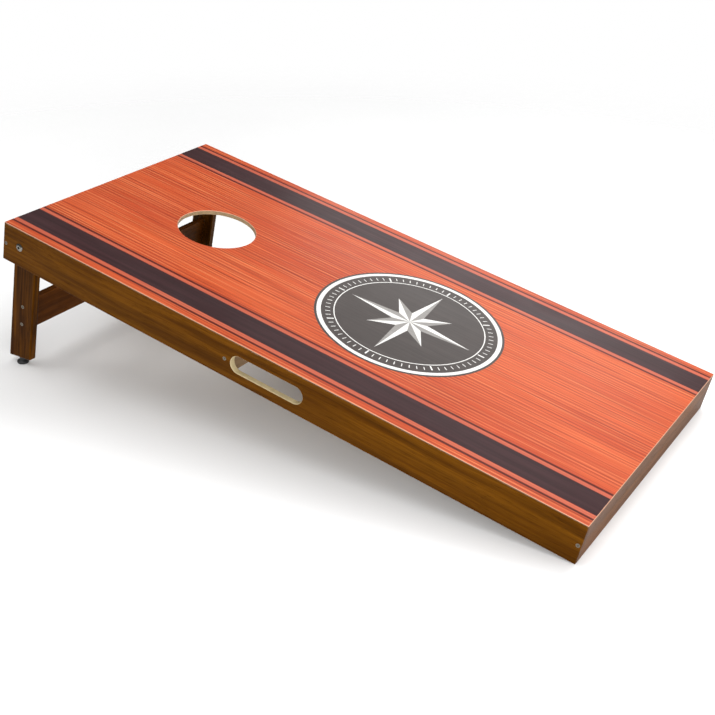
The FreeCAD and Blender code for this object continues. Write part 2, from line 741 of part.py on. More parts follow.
board_pieces = [
    make_playing_surface(),
    make_deck_panel(),
    make_end_rail("front_rail", at_rear=False),
    make_end_rail("rear_rail", at_rear=True),
    make_centre_brace(),
    make_leg_crossbar(),
]
floor_pieces = []
for word, side in SIDES:
    board_pieces.append(make_side_rail(f"side_rail_{word}", side))
    board_pieces.append(make_leg(f"leg_{word}", side))
    board_pieces.append(make_pivot_bolt(f"pivot_bolt_{word}", side))
    spacer_x = size("inside_width") / 2 - size("spacer_thick")
    board_pieces.append(
        make_ring(f"pivot_spacer_{word}", side, spacer_x, "dims.spacer_radius", "dims.spacer_thick")
    )
    washer_x = LEG_INNER_X - size("running_gap") - size("nut_washer_thick")
    board_pieces.append(
        make_ring(f"nut_washer_{word}", side, washer_x, "dims.nut_washer_radius", "dims.nut_washer_thick")
    )
    nut_x = washer_x - size("nut_hex_height")
    board_pieces.append(make_lock_nut(f"lock_nut_{word}", side, nut_x))

    end_drop = drop_to_leg_end(LEG_MIDDLE_Y)
    leg_x = side * (LEG_OUTER_X + LEG_INNER_X) / 2
    leg_end = BOARD.multVec(Vector(leg_x, PIVOT_Y + LEG_MIDDLE_Y, PIVOT_Z - end_drop))
    under_leg = Placement(Vector(leg_end.x, leg_end.y, 0), Rotation())
    floor_pieces.append(make_foot_insert(f"foot_insert_{word}", Placement(leg_end, Rotation())))
    floor_pieces.append(make_foot_stem(f"foot_stem_{word}", under_leg))
    floor_pieces.append(make_foot_pad(f"foot_pad_{word}", under_leg))

for piece, place in board_pieces:
    piece.Placement = BOARD.multiply(place)
for piece, place in floor_pieces:
    piece.Placement = place

screw_z = size("frame_height") - size("screw_below_top")
half_width = size("board_width") / 2
end_inset = size("rail_thick") / 2
corner_rows = [end_inset, size("board_length") - end_inset]
brace_row = size("board_length") - size("brace_from_rear")
bar_drops = [
    size("bar_below_pivot") - size("bar_screw_spacing") / 2,
    size("bar_below_pivot") + size("bar_screw_spacing") / 2,
]
signs = [side for _, side in SIDES]
screw_groups = [
    make_screws("corner_screws", [(s, half_width, y, screw_z) for s in signs for y in corner_rows]),
    make_screws("brace_screws", [(s, half_width, brace_row, screw_z) for s in signs]),
    make_screws(
        "crossbar_screws", [(s, LEG_OUTER_X, PIVOT_Y, PIVOT_Z - drop) for s in signs for drop in bar_drops]
    ),
]
doc.recompute()

# the origin is on the floor, in the middle of the space that the board takes up
nodes = [piece for piece, _ in board_pieces + floor_pieces] + screw_groups
whole = Part.makeCompound([node.Shape for node in nodes]).optimalBoundingBox(False)
to_middle = Vector(0, -(whole.YMin + whole.YMax) / 2, 0)
for node in nodes:
    node.Placement.move(to_middle)
doc.recompute()

# ---- checks and export ----

for item in doc.Objects:
    if "Invalid" in item.State or "Error" in item.State:
        raise RuntimeError(f"{item.Name} failed: {item.State}")

os.makedirs("parts", exist_ok=True)
for node in nodes:
    if node.Shape.isNull() or not node.Shape.isValid() or not node.Shape.Solids:
        raise RuntimeError(f"{node.Label} has no valid solid")
    node.Shape.exportStep(f"parts/{node.Label}.step")
    print(f"{node.Label}: {len(node.Shape.Solids)} solid(s), {node.Shape.Volume:.0f} mm3")
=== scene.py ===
import json
import math

import bmesh
import bpy
from mathutils import Matrix, Vector


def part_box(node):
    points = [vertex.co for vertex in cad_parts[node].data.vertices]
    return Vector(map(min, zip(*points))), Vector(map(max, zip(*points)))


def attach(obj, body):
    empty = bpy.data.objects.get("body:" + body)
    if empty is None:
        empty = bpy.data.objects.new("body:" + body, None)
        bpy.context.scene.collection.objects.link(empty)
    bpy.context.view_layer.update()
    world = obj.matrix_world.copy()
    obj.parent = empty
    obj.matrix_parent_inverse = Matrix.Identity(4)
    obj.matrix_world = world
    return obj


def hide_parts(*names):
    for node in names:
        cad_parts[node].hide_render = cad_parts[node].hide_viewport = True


# The looks of a folding cornhole board. Metres, in the row frame. Most places are given in the
# deck's own frame: u across the board, v along it towards the high rear edge and w square to the
# deck, from the middle of its printed top.

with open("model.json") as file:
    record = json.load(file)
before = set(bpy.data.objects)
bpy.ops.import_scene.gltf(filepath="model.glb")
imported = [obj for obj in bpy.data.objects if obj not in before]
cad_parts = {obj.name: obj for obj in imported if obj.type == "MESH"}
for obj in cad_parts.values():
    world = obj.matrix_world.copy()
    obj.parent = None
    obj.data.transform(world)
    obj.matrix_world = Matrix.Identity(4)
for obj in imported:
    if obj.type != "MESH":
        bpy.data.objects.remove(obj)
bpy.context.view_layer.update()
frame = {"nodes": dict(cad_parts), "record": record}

MM = 0.001

deck_mount = next(m for m in frame["record"]["mounts"] if m["name"] == "deck_face")
DECK_CENTRE = Vector(deck_mount["pos_m"])
DECK_UP = Vector(deck_mount["axis"])
DECK_TILT = math.atan2(-DECK_UP.y, DECK_UP.z)
DECK_ALONG = Vector((0, DECK_UP.z, -DECK_UP.y))
ACROSS = Vector((1, 0, 0))

# The deck's size, the places of the hole and the emblem along v, and a hand slot's middle in v and
# w, with a little more than half its size.
HALF_WIDTH = 300 * MM
HALF_LENGTH = 600 * MM
HOLE_CENTRE = 336 * MM
HOLE_RADIUS = 76.2 * MM
SLOT_CENTRE = (-7 * MM, -41.5 * MM)
SLOT_REACH = (78 * MM, 19 * MM)
EMBLEM_CENTRE = -107.6 * MM
EMBLEM_RADIUS = 176.5 * MM


def at_deck(u, v, w=0.0):
    """The row-frame point at these deck coordinates."""
    return DECK_CENTRE + ACROSS * u + DECK_ALONG * v + DECK_UP * w


# ---------------------------------------------------------------- materials


class Recipe:
    """A material in the making. Each call adds a node and gives its output, and every input takes
    either a plain value or another node's output."""

    def __init__(self, name, **surface):
        self.material = bpy.data.materials.new(name)
        self.material.use_nodes = True
        self.tree = self.material.node_tree
        self.surface = self.tree.nodes["Principled BSDF"]
        for socket, value in surface.items():
            self.feed(self.surface.inputs[socket.replace("_", " ")], value)

    def feed(self, socket, value):
        """Links a node's output to the socket, or sets the socket to a plain value."""
        if isinstance(value, bpy.types.NodeSocket):
            self.tree.links.new(value, socket)
        elif socket.type == "RGBA":
            socket.default_value = (*value, 1)
        else:
            socket.default_value = value

    def add(self, kind, inputs=(), **settings):
        """A node with these settings, whose inputs are fed by their place in the node."""
        node = self.tree.nodes.new(kind)
        for setting, value in settings.items():
            setattr(node, setting, value)
        for place, value in dict(inputs).items():
            self.feed(node.inputs[place], value)
        return node

    def calc(self, operation, first, second=0.0, clamp=False):
        inputs = {0: first, 1: second}
        return self.add("ShaderNodeMath", inputs, operation=operation, use_clamp=clamp).outputs[0]

    def step(self, value, start, end, low=0.0, high=1.0):
        """Goes smoothly from low, where value is start, to high, where it is end."""
        inputs = {0: value, 1: start, 2: end, 3: low, 4: high}
        return self.add("ShaderNodeMapRange", inputs, interpolation_type="SMOOTHSTEP").outputs[0]

    def band(self, value, middle, half_width, soft):
        """1 within half_width of the middle and 0 beyond, over a soft edge."""
        away = self.calc("ABSOLUTE", self.calc("SUBTRACT", value, middle))
        return self.step(away, half_width - soft, half_width + soft, 1.0, 0.0)

    def spread(self, noise, low=0.0, high=1.0):
        """Noise, nearly all of which lies from 0.3 to 0.7, as a value from low to high."""
        return self.step(noise, 0.3, 0.7, low, high)

    def mix(self, share, first, second):
        """A colour between two: the first where share is 0 and the second where it is 1."""
        node = self.add("ShaderNodeMix", {0: share, 6: first, 7: second}, data_type="RGBA")
        return node.outputs[2]

    def lay(self, under, colour, where, share):
        """The colour laid over another where "where" is 1, covering this share of it."""
        return self.mix(self.calc("MULTIPLY", where, share), under, colour)

    def mix_number(self, share, first, second):
        return self.add("ShaderNodeMix", {0: share, 2: first, 3: second}).outputs[0]

    def tone(self, colour, amount):
        """The colour, made lighter or darker by a factor."""
        scaled = self.add("ShaderNodeVectorMath", {0: colour, 3: amount}, operation="SCALE")
        return scaled.outputs[0]

    def stretched(self, where, scale, shift=(0, 0, 0)):
        node = self.add("ShaderNodeMapping", {0: where, 1: shift, 3: scale})
        return node.outputs[0]

    def noise(self, where, scale, detail=2.0, rough=0.5, shift=(0, 0, 0)):
        """Noise from 0 to 1 whose features repeat scale times a metre, along each axis."""
        inputs = {0: self.stretched(where, scale, shift), 2: 1.0, 3: detail, 4: rough}
        return self.add("ShaderNodeTexNoise", inputs).outputs[0]

    def split(self, vector):
        return self.add("ShaderNodeSeparateXYZ", {0: vector}).outputs

    def join(self, x, y, z):
        return self.add("ShaderNodeCombineXYZ", {0: x, 1: y, 2: z}).outputs[0]

    def deck_place(self):
        """The shaded point in deck coordinates. It stays with the piece when the piece moves."""
        place = self.add("ShaderNodeTexCoord").outputs["Object"]
        inputs = {0: place, 1: DECK_CENTRE, 2: (DECK_TILT, 0, 0)}
        return self.add("ShaderNodeMapping", inputs, vector_type="TEXTURE").outputs[0]

    def edges(self, reach, breakup):
        """1 on the worn crest of a piece's own edges, and 0 on its flats."""
        soft = self.add("ShaderNodeBevel", {0: reach}, samples=6).outputs[0]
        true = self.add("ShaderNodeNewGeometry").outputs["True Normal"]
        dot = self.add("ShaderNodeVectorMath", {0: soft, 1: true}, operation="DOT_PRODUCT")
        turned = self.calc("SUBTRACT", 1.0, dot.outputs["Value"])
        return self.calc("MULTIPLY", self.step(turned, 0.01, 0.09), breakup, clamp=True)

    def bump(self, height, distance, strength):
        return self.add("ShaderNodeBump", {0: strength, 1: distance, 3: height}).outputs[0]

    def finish(self, **sockets):
        """Feeds the surface's last sockets and gives the material."""
        for socket, value in sockets.items():
            self.feed(self.surface.inputs[socket.replace("_", " ")], value)
        return self.material


CREAM_BOARD = (0.56, 0.46, 0.27)
TAN_BOARD = (0.30, 0.20, 0.105)
BROWN_BOARD = (0.36, 0.245, 0.135)
WORN_BOARD = (0.5, 0.36, 0.22)

# The deck print's grain: the spacing of its growth lines, how much that varies, how far the finer
# grain sways, and the tones.
GROWTH_LINE = 8.0 * MM
CROWDING = 11.0
GRAIN_SWAY = 12 * MM
GRAIN_TONES = ((0.46, 0.056, 0.012), (0.56, 0.090, 0.021))
DARK_GRAIN = (0.24, 0.023, 0.007)
PALE_GRAIN = (0.80, 0.29, 0.11)

# The dark stripe near each side, the bands that border it, and the thin lines on both sides of
# it. A band is half its width, its soft edge, how much of the print it covers, and its colour.
STRIPE_FROM_SIDE = 60 * MM
STRIPE_HALF = 28 * MM
STRIPE_SOFT = 0.35 * MM
STRIPE_TONES = ((0.027, 0.0085, 0.0095), (0.045, 0.0155, 0.0175))
STRIPE_BORDERS = (
    (39 * MM, 1.0 * MM, 0.65, (0.47, 0.112, 0.066)),
    (29.2 * MM, 0.6 * MM, 0.55, (0.30, 0.03, 0.016)),
)
THIN_LINES_FROM_SIDE = (19 * MM, 100.5 * MM)
THIN_LINE_BANDS = (
    (3.8 * MM, 0.8 * MM, 0.55, (0.24, 0.024, 0.010)),
    (2.3 * MM, 0.5 * MM, 1.0, (0.080, 0.0065, 0.0028)),
)

# The print's worn rim, its bare chamfer, and the foil on the sides of the skin.
WORN_PRINT = (0.62, 0.27, 0.16)
BARE_CHAMFER = (0.56, 0.31, 0.20)
SKIN_SIDE_TONES = ((0.060, 0.020, 0.002), (0.125, 0.046, 0.004))

WOOD_SWAY = 50 * MM


def fibres(recipe, place, colour):
    """The mottled, short-fibred look of bare fibreboard, and its height."""
    blotch = recipe.noise(place, (90, 90, 90), 3, 0.6)
    fleck = recipe.noise(place, (1500, 1500, 1500), 2, 0.6)
    amount = recipe.calc("ADD", recipe.spread(blotch, 0.86, 1.06),
                         recipe.step(fleck, 0.25, 0.75, -0.14, 0.12))
    return recipe.tone(colour, amount), fleck


def board_grain(recipe, place):
    """The deck print's fine lengthwise grain: its colour and its height. Evenly spaced growth
    lines come and go, with finer hairs between them."""
    sway = recipe.noise(place, (7, 2.2, 1), 2)
    u, v, w = recipe.split(place)
    swayed = recipe.join(recipe.calc("ADD", u, recipe.calc("MULTIPLY", sway, GRAIN_SWAY)), v, w)
    cloud = recipe.noise(swayed, (7, 1.6, 1), 3, 0.55)
    drift = recipe.noise(swayed, (30, 1.1, 1), 4, 0.65, (3, 0, 0))
    crowding = recipe.noise(swayed, (26, 1.5, 1), 1, 0.5, (0, 5, 0))
    fading = recipe.noise(swayed, (90, 4, 1), 2, 0.5, (0, 9, 0))
    phase = recipe.calc("ADD", recipe.calc("MULTIPLY", u, math.tau / GROWTH_LINE),
                        recipe.calc("MULTIPLY", crowding, CROWDING))
    wave = recipe.calc("MULTIPLY", recipe.calc("SINE", phase),
                       recipe.step(fading, 0.35, 0.62, 0.25, 0.9))
    fine = recipe.noise(swayed, (560, 3, 1), 2, 0.6)
    hairs = recipe.noise(swayed, (1100, 7, 1), 2, 0.55)
    lines = recipe.calc("ADD", recipe.calc("MULTIPLY", wave, 0.42), recipe.step(fine, 0.2, 0.8))
    colour = recipe.mix(recipe.step(cloud, 0.36, 0.66), *GRAIN_TONES)
    colour = recipe.tone(colour, recipe.spread(drift, 0.95, 1.06))
    colour = recipe.lay(colour, DARK_GRAIN, recipe.step(lines, 0.46, 0.0), 0.85)
    colour = recipe.lay(colour, PALE_GRAIN, recipe.step(lines, 0.60, 1.0), 0.45)
    colour = recipe.tone(colour, recipe.spread(hairs, 0.82, 1.14))
    height = recipe.calc("ADD", lines, recipe.calc("MULTIPLY", hairs, 0.5))
    return colour, height


def gloss(recipe, height, place):
    """Roughness and bump shared by everything printed on the deck."""
    smear = recipe.noise(place, (14, 5, 1), 3, 0.6, (0, 7, 0))
    rough = recipe.calc("ADD", recipe.spread(smear, 0.27, 0.37),
                        recipe.calc("MULTIPLY", height, 0.06))
    return rough, recipe.bump(height, 0.05 * MM, 0.35)


def print_bands(recipe, colour, from_side, middle, bands):
    """The print, with bands of other colours laid over it at this distance from each side."""
    for half, soft, share, band_colour in bands:
        band = recipe.band(from_side, middle, half, soft)
        colour = recipe.lay(colour, band_colour, band, share)
    return colour


def printed_surface():
    """The printed hardboard skin: an orange-red grain, two groups of dark stripes, bare edges."""
    r = Recipe("printed_surface", Coat_Weight=0.2, Coat_Roughness=0.2, Coat_IOR=1.45)
    place = r.deck_place()
    u, v, w = r.split(place)
    from_side = r.calc("SUBTRACT", HALF_WIDTH, r.calc("ABSOLUTE", u))
    from_end = r.calc("SUBTRACT", HALF_LENGTH, r.calc("ABSOLUTE", v))
    to_hole = r.add("ShaderNodeVectorMath", {0: r.join(u, v, 0), 1: (0, HOLE_CENTRE, 0)},
                    operation="DISTANCE").outputs["Value"]
    from_hole = r.calc("SUBTRACT", to_hole, HOLE_RADIUS)
    print_colour, height = board_grain(r, place)

    stain = r.noise(place, (120, 3, 1), 3, 0.6, (0, 2, 0))
    dark = r.mix(r.step(stain, 0.35, 0.7), *STRIPE_TONES)
    print_colour = print_bands(r, print_colour, from_side, STRIPE_FROM_SIDE, STRIPE_BORDERS)
    stripe = r.band(from_side, STRIPE_FROM_SIDE, STRIPE_HALF, STRIPE_SOFT)
    print_colour = r.mix(stripe, print_colour, dark)
    for middle in THIN_LINES_FROM_SIDE:
        print_colour = print_bands(r, print_colour, from_side, middle, THIN_LINE_BANDS)

    rim = r.calc("MINIMUM", r.calc("MINIMUM", from_side, from_end), from_hole)
    chips = r.noise(place, (160, 160, 160), 3, 0.65)
    ragged = r.calc("ADD", rim, r.spread(chips, 0.35 * MM, -0.45 * MM))
    worn = r.step(ragged, 1.1 * MM, 0.8 * MM)
    print_colour = r.lay(print_colour, WORN_PRINT, worn, 0.42)

    core = fibres(r, place, TAN_BOARD)[0]
    foil = r.mix(r.spread(stain), *SKIN_SIDE_TONES)
    side = r.mix(r.step(from_hole, 5 * MM, 10 * MM), core, foil)
    below_print = r.step(w, -0.15 * MM, -0.35 * MM)
    below_chamfer = r.step(w, -0.95 * MM, -1.25 * MM)
    bare_edge = r.mix(below_chamfer, BARE_CHAMFER, side)
    rough, normal = gloss(r, height, place)
    return r.finish(Base_Color=r.mix(below_print, print_colour, bare_edge),
                    Roughness=r.mix_number(below_print, rough, 0.75), Normal=normal)


def slot_faces(recipe, axes):
    """1 on the sawn faces of a hand slot, which don't face across the board as the rail does."""
    facing = recipe.split(recipe.add("ShaderNodeTexCoord").outputs["Normal"])[0]
    sawn = recipe.step(recipe.calc("ABSOLUTE", facing), 0.95, 0.85)
    for axis, middle, reach in zip(axes[1:], SLOT_CENTRE, SLOT_REACH):
        sawn = recipe.calc("MULTIPLY", sawn, recipe.band(axis, middle, reach, 0.2 * MM))
    return sawn


def walnut(name, along, dark, light, contrast=1.0, cuts=False):
    """Wood grain between two tones. along says which deck axis it follows: 0 is u, 1 is v and 2 is
    w. A piece with cuts shows bare board in its hand slot."""
    r = Recipe(name, Specular_IOR_Level=0.08, Specular_Tint=(1.0, 0.6, 0.15))
    place = r.deck_place()
    axes = r.split(place)
    grain = axes[along]
    first, second = [axes[n] for n in range(3) if n != along]
    sway = r.noise(r.join(first, grain, second), (5, 1.7, 5), 2)
    sway = r.calc("MULTIPLY", r.calc("SUBTRACT", sway, 0.5), WOOD_SWAY)
    flow = r.join(r.calc("ADD", first, sway), grain, r.calc("ADD", second, sway))
    cloud = r.noise(flow, (8, 1.1, 8), 3, 0.5)
    figure = r.noise(flow, (70, 2.2, 70), 5, 0.62)
    streaks = r.noise(flow, (260, 4.5, 260), 3, 0.6)
    pores = r.noise(flow, (1300, 26, 1300), 2, 0.5)
    shift = 0.5 - 0.5 * contrast
    colour = r.mix(r.step(figure, 0.34, 0.66, shift, 1.0 - shift), dark, light)
    colour = r.tone(colour, r.spread(cloud, 1 - 0.2 * contrast, 1 + 0.18 * contrast))
    colour = r.tone(colour, r.spread(streaks, 1 - 0.26 * contrast, 1 + 0.18 * contrast))
    pore = r.step(pores, 0.42, 0.3)
    colour = r.lay(colour, tuple(0.35 * c for c in dark), pore, 0.55)
    chips = r.noise(place, (85, 85, 85), 4, 0.7)
    wear = r.edges(1.3 * MM, r.step(chips, 0.42, 0.72, 0.15, 0.85))
    colour = r.mix(wear, colour, tuple(0.25 + 0.5 * c for c in light))
    height = r.calc("SUBTRACT", streaks, r.calc("MULTIPLY", pore, 0.7))
    rough = r.calc("ADD", r.spread(cloud, 0.40, 0.51), r.calc("MULTIPLY", pore, 0.2))
    if cuts:
        sawn = slot_faces(r, axes)
        bare = fibres(r, place, CREAM_BOARD)[0]
        colour = r.mix(sawn, colour, bare)
        rough = r.mix_number(sawn, rough, 0.8)
    return r.finish(Base_Color=colour, Roughness=rough, Normal=r.bump(height, 0.06 * MM, 0.5))


def fibreboard():
    """The bare board under the printed skin."""
    r = Recipe("deck_board")
    place = r.deck_place()
    colour, fleck = fibres(r, place, BROWN_BOARD)
    long_fibre = r.noise(place, (260, 60, 260), 4, 0.65)
    colour = r.tone(colour, r.spread(long_fibre, 0.88, 1.08))
    wear = r.edges(1.0 * MM, 0.5)
    colour = r.mix(wear, colour, WORN_BOARD)
    return r.finish(Base_Color=colour, Roughness=r.spread(fleck, 0.68, 0.86),
                    Normal=r.bump(fleck, 0.12 * MM, 0.5))


def zinc(name, shade):
    """Zinc-plated steel with a faint crystal mottle and turned marks."""
    r = Recipe(name, Metallic=1.0)
    place = r.deck_place()
    mottle = r.noise(place, (420, 420, 420), 3, 0.55)
    marks = r.noise(place, (2600, 2600, 2600), 2, 0.5)
    dull = tuple(0.72 * c for c in shade)
    colour = r.mix(r.step(mottle, 0.35, 0.68), dull, shade)
    wear = r.edges(0.25 * MM, 0.7)
    colour = r.mix(wear, colour, tuple(1.4 * c for c in shade))
    return r.finish(Base_Color=colour, Roughness=r.spread(mottle, 0.36, 0.24),
                    Normal=r.bump(marks, 0.02 * MM, 0.4))


def moulded(name, colour, rough, grain_scale):
    """Moulded plastic with a fine spark-eroded texture, rubbed smooth on its edges."""
    r = Recipe(name)
    place = r.deck_place()
    texture = r.noise(place, (grain_scale,) * 3, 2, 0.55)
    scuff = r.noise(place, (130, 130, 130), 4, 0.7)
    rubbed = r.edges(0.6 * MM, r.step(scuff, 0.4, 0.65, 0.2, 0.9))
    shade = r.tone(colour, r.step(scuff, 0.35, 0.7, 0.85, 1.25))
    shade = r.lay(shade, tuple(0.1 + 0.8 * c for c in colour), rubbed, 0.35)
    level = r.calc("SUBTRACT", r.spread(texture, rough, rough + 0.12),
                   r.calc("MULTIPLY", rubbed, 0.12))
    return r.finish(Base_Color=shade, Roughness=level, Normal=r.bump(texture, 0.05 * MM, 0.6))


def ink(name, colour, grain_shows):
    """Opaque print on the deck, with a little of the grain under it."""
    r = Recipe(name, Coat_Weight=0.2, Coat_Roughness=0.2, Coat_IOR=1.45)
    place = r.deck_place()
    lines = r.noise(place, (300, 2.6, 1), 3, 0.55)
    cloud = r.noise(place, (20, 20, 1), 3, 0.6)
    shade = r.tone(colour, r.spread(cloud, 0.94, 1.04))
    shade = r.tone(shade, r.step(lines, 0.35, 0.65, 1.0 - grain_shows, 1.0))
    wear = r.edges(0.4 * MM, 0.25)
    shade = r.mix(wear, shade, tuple(0.7 * c + 0.05 for c in colour))
    rough, normal = gloss(r, lines, place)
    return r.finish(Base_Color=shade, Roughness=rough, Normal=normal)


# The dark and light tones of each wood. The side and end rails are one walnut foil: the side rails'
# tones are darkened as painted shade, and the end rails' tones are lightened as painted light. The
# brace is left unstained.
SIDE_RAIL_TONES_PAINTED_SHADE = ((0.050, 0.0148, 0.0005), (0.121, 0.0425, 0.0020))
END_RAIL_TONES_PAINTED_LIGHT = ((0.071, 0.026, 0.0084), (0.168, 0.067, 0.0215))
LEG_TONES = ((0.023, 0.0056, 0.0003), (0.098, 0.032, 0.0010))
CROSSBAR_TONES = ((0.030, 0.0075, 0.0006), (0.115, 0.032, 0.0018))
BRACE_TONES = ((0.23, 0.145, 0.078), (0.34, 0.225, 0.128))
ACROSS_BOARD, ALONG_BOARD, SQUARE_TO_BOARD = range(3)

side_walnut_painted_shade = walnut("side_walnut_painted_shade", ALONG_BOARD, *SIDE_RAIL_TONES_PAINTED_SHADE, contrast=0.75, cuts=True)
end_walnut_painted_light = walnut("end_walnut_painted_light", ACROSS_BOARD, *END_RAIL_TONES_PAINTED_LIGHT, contrast=0.5)
leg_walnut = walnut("leg_walnut", SQUARE_TO_BOARD, *LEG_TONES)
crossbar_walnut = walnut("crossbar_walnut", ACROSS_BOARD, *CROSSBAR_TONES, contrast=0.6)
bare_timber = walnut("bare_timber", ACROSS_BOARD, *BRACE_TONES, contrast=0.4)
screw_zinc = zinc("screw_zinc", (0.22, 0.198, 0.158))
hardware_zinc = zinc("hardware_zinc", (0.36, 0.35, 0.32))
nylon = moulded("nylon", (0.78, 0.77, 0.72), 0.42, 900)
black_plastic = moulded("black_plastic", (0.016, 0.016, 0.017), 0.42, 1400)

FINISHES = {
    "playing_surface": printed_surface(),
    "deck_panel": fibreboard(),
    "front_rail": end_walnut_painted_light,
    "rear_rail": end_walnut_painted_light,
    "centre_brace": bare_timber,
    "leg_crossbar": crossbar_walnut,
    "corner_screws": screw_zinc,
    "brace_screws": screw_zinc,
    "crossbar_screws": screw_zinc,
}
for side in ("left", "right"):
    FINISHES[f"side_rail_{side}"] = side_walnut_painted_shade
    FINISHES[f"leg_{side}"] = leg_walnut
    FINISHES[f"pivot_spacer_{side}"] = nylon
    FINISHES[f"foot_pad_{side}"] = black_plastic
    for piece in ("pivot_bolt", "nut_washer", "lock_nut", "foot_insert", "foot_stem"):
        FINISHES[f"{piece}_{side}"] = hardware_zinc

for node, material in FINISHES.items():
    slots = frame["nodes"][node].data.materials
    slots.clear()
    slots.append(material)


# ---------------------------------------------------------------- the printed emblem


def new_object(name, mesh_maker, material):
    """An object whose mesh is made by mesh_maker in a bmesh."""
    shape = bmesh.new()
    mesh_maker(shape)
    bmesh.ops.recalc_face_normals(shape, faces=shape.faces)
    mesh = bpy.data.meshes.new(name)
    shape.to_mesh(mesh)
    shape.free()
    mesh.materials.append(material)
    made = bpy.data.objects.new(name, mesh)
    bpy.context.scene.collection.objects.link(made)
    return made


def new_piece(name, mesh_maker, material, body):
    """A piece that rides on a body, in the material it is given."""
    piece = new_object(name, mesh_maker, material)
    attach(piece, body)
    return piece


# The print's layers: its dark ground starts a little under the deck's top, and the light figures
# start a little inside the ground.
INK_FOOT = -0.05 * MM
GROUND_TOP = 0.10 * MM
FIGURE_FOOT = 0.07 * MM
INK_TOP = 0.15 * MM

CIRCLE_STEPS = 180
RIM = (164 * MM, 172 * MM)
FINE_RING = (139 * MM, 141 * MM)
TICK_RING = (147 * MM, 156 * MM)
TICKS = 72
TICK_HALF = 0.8 * MM
POINT_TICK_HALF = 1.5 * MM
POINT_TICK_EXTRA = 4 * MM
POINTS = 8
LONG_POINT = 126 * MM
SHORT_POINT = 82 * MM
NOTCH = 33 * MM


def emblem_point(radius, angle, height):
    """The point at this radius and angle round the emblem's middle, and height over the deck."""
    return at_deck(radius * math.cos(angle), EMBLEM_CENTRE + radius * math.sin(angle), height)


def circle_angles():
    return [math.tau * n / CIRCLE_STEPS for n in range(CIRCLE_STEPS)]


def add_prism(shape, outline, low, high):
    """A flat prism over an outline of (radius, angle) points, between two heights over the deck."""
    bottom, top = [
        [shape.verts.new(emblem_point(radius, angle, height)) for radius, angle in outline]
        for height in (low, high)
    ]
    shape.faces.new(bottom)
    shape.faces.new(top)
    for n in range(len(outline)):
        m = (n + 1) % len(outline)
        shape.faces.new((bottom[n], bottom[m], top[m], top[n]))


def add_ring(shape, inner, outer, low, high):
    """A flat ring between two radii and two heights."""
    corners = ((inner, low), (outer, low), (outer, high), (inner, high))
    loops = [
        [shape.verts.new(emblem_point(r, angle, h)) for angle in circle_angles()]
        for r, h in corners
    ]
    for loop, following in zip(loops, loops[1:] + loops[:1]):
        for n in range(CIRCLE_STEPS):
            m = (n + 1) % CIRCLE_STEPS
            shape.faces.new((loop[n], loop[m], following[m], following[n]))


def emblem_ground(shape):
    """The dark disc that the emblem's figures stand on."""
    add_prism(shape, [(EMBLEM_RADIUS, angle) for angle in circle_angles()], INK_FOOT, GROUND_TOP)


def emblem_rings(shape):
    for inner, outer in (RIM, FINE_RING):
        add_ring(shape, inner, outer, FIGURE_FOOT, INK_TOP)


def emblem_ticks(shape):
    """Short strokes round the rim, with a longer, wider one at each point of the star."""
    inner, outer = TICK_RING
    for n in range(TICKS):
        middle = math.tau * n / TICKS
        at_point = n % (TICKS // POINTS) == 0
        start = inner - (POINT_TICK_EXTRA if at_point else 0)
        half = (POINT_TICK_HALF if at_point else TICK_HALF) / outer
        outline = [(start, middle - half), (outer, middle - half),
                   (outer, middle + half), (start, middle + half)]
        add_prism(shape, outline, FIGURE_FOOT, INK_TOP)


def star_facets(side):
    """One half of each point of the star: side is 1 or -1."""

    def make(shape):
        for n in range(POINTS):
            angle = math.tau * n / POINTS
            reach = LONG_POINT if n % 2 == 0 else SHORT_POINT
            notch = (NOTCH, angle + side * math.pi / POINTS)
            add_prism(shape, [(0, 0), (reach, angle), notch], FIGURE_FOOT, INK_TOP)

    return make


dark_ink = ink("dark_ink", (0.066, 0.054, 0.050), 0.2)
white_ink = ink("white_ink", (0.80, 0.79, 0.76), 0.06)
grey_ink = ink("grey_ink", (0.30, 0.285, 0.27), 0.12)
for name, maker, material in (
    ("emblem_ground", emblem_ground, dark_ink),
    ("emblem_rings", emblem_rings, white_ink),
    ("emblem_ticks", emblem_ticks, white_ink),
    ("emblem_star_light", star_facets(1), white_ink),
    ("emblem_star_shade", star_facets(-1), grey_ink),
):
    new_piece(name, maker, material, "board")


# ---------------------------------------------------------------- the feet's threads

THREAD_PITCH = 1.0 * MM
THREAD_DEPTH = 0.5 * MM
STEM_CHAMFER = 0.7 * MM
RINGS_A_TURN = 8
POINTS_A_RING = 32


def thread_ring(radius, height, limit):
    """One ring of the stud's skin, as offsets from its axis. The crest climbs round it by a pitch
    a turn, and no point goes beyond the limit."""
    ring = []
    for n in range(POINTS_A_RING):
        share = (height / THREAD_PITCH - n / POINTS_A_RING) % 1.0
        crest = radius - THREAD_DEPTH * (1 - abs(2 * share - 1))
        angle = math.tau * n / POINTS_A_RING
        ring.append(Vector((math.cos(angle), math.sin(angle), 0)) * min(crest, limit))
    return ring


def threaded_stem(node):
    """A foot's stud in the place of its plain CAD solid, with its thread cut as one long helix."""
    low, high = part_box(node)
    radius = (high[0] - low[0]) / 2
    middle = Vector(((low[0] + high[0]) / 2, (low[1] + high[1]) / 2, 0))
    length = high[2] - low[2]
    count = round(length / THREAD_PITCH * RINGS_A_TURN)

    def make(shape):
        rings = []
        for k in range(count + 1):
            height = length * k / count
            limit = radius - max(0.0, STEM_CHAMFER - (length - height))
            at_height = Vector((0, 0, low[2] + height))
            rings.append([shape.verts.new(middle + out + at_height)
                          for out in thread_ring(radius, height, limit)])
        for ring, following in zip(rings, rings[1:]):
            for n in range(POINTS_A_RING):
                m = (n + 1) % POINTS_A_RING
                shape.faces.new((ring[n], ring[m], following[m], following[n]))
        shape.faces.new(rings[0])
        shape.faces.new(rings[-1])

    return make


